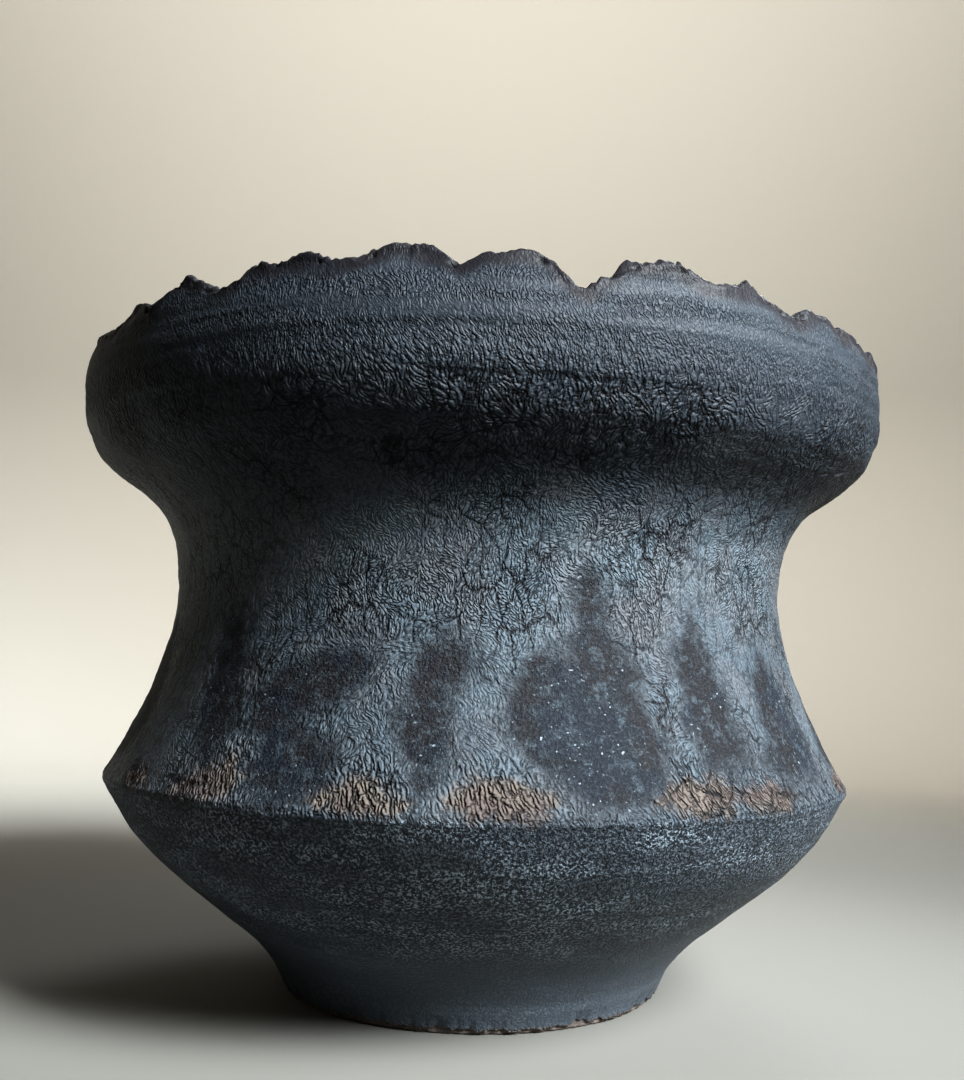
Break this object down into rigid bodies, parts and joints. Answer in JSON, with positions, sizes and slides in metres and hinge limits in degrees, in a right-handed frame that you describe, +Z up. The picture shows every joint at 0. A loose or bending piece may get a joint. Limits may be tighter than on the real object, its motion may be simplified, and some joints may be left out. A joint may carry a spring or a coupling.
{
  "type": "black clay pot",
  "caption": "Wide-mouthed black clay pot with a trimmed foot, sharp keeled bowl, concave waist and an outward-rolled collar with a torn edge.",
  "frame": {"origin": "centre of the foot's underside, where the pot stands", "axes": "+Z up along the pot's axis, -Y towards the front"},
  "size_m": [0.2144, 0.2144, 0.1726],
  "materials": {
    "body_clay": "unglazed, smoke-fired, torn and smoothed at the rim",
    "luting_slip": "fired slip inside the joints",
    "black_slip": "satin-matte wrinkled and crackled slip"
  },
  "bodies": {
    "root": {"foot_ring": "body_clay", "floor_slab": "body_clay", "bowl_wall": "body_clay", "keel_coil": "body_clay", "lower_waist_wall": "body_clay", "upper_waist_wall": "body_clay", "collar_flare": "body_clay", "collar_band": "body_clay", "torn_rim": "body_clay", "foot_luting": "luting_slip", "floor_luting": "luting_slip", "keel_lower_luting": "luting_slip", "keel_upper_luting": "luting_slip", "waist_luting": "luting_slip", "throat_luting": "luting_slip", "collar_luting": "luting_slip", "rim_luting": "luting_slip", "bowl_slip_coat": "black_slip", "waist_slip_coat": "black_slip", "collar_slip_coat": "black_slip"}
  },
  "joints": []
}
